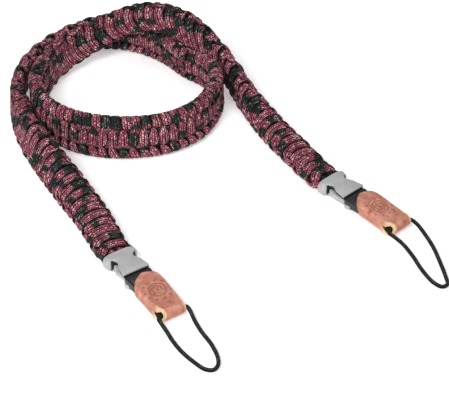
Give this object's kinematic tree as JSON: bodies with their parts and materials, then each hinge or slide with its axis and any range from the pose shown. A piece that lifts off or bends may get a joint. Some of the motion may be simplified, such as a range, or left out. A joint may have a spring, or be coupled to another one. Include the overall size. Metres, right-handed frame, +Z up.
{
  "type": "camera neck strap",
  "caption": "Braided cord camera neck strap lying in a loose coil, with side-release buckles, rolled leather end tabs and thin cord loops that tie it to a camera.",
  "frame": {"origin": "centre of the base of the lying strap, on the surface that it lies on, without the two cord loops", "axes": "+Z up from the surface, +Y away from the two ends towards the coil, +X from the left end to the right end as seen by a viewer at the ends"},
  "size_m": [0.2714, 0.3302, 0.0474],
  "materials": {
    "woven_cord": "braided polyester cord in a pink and charcoal camouflage pattern, matt",
    "grey_shell": "satin light grey",
    "black_plug": "glossy black",
    "tan_leather": "smooth terracotta leather with a pale raw edge",
    "thin_cord": "matt charcoal woven cord"
  },
  "bodies": {
    "root": {"left_leg_braid": "woven_cord", "neck_braid": "woven_cord", "right_leg_braid": "woven_cord", "left_buckle_socket": "grey_shell", "right_buckle_socket": "grey_shell", "left_buckle_plug": "black_plug", "right_buckle_plug": "black_plug", "left_leather_tab": "tan_leather", "right_leather_tab": "tan_leather", "left_cord_loop": "thin_cord", "right_cord_loop": "thin_cord"}
  },
  "joints": []
}
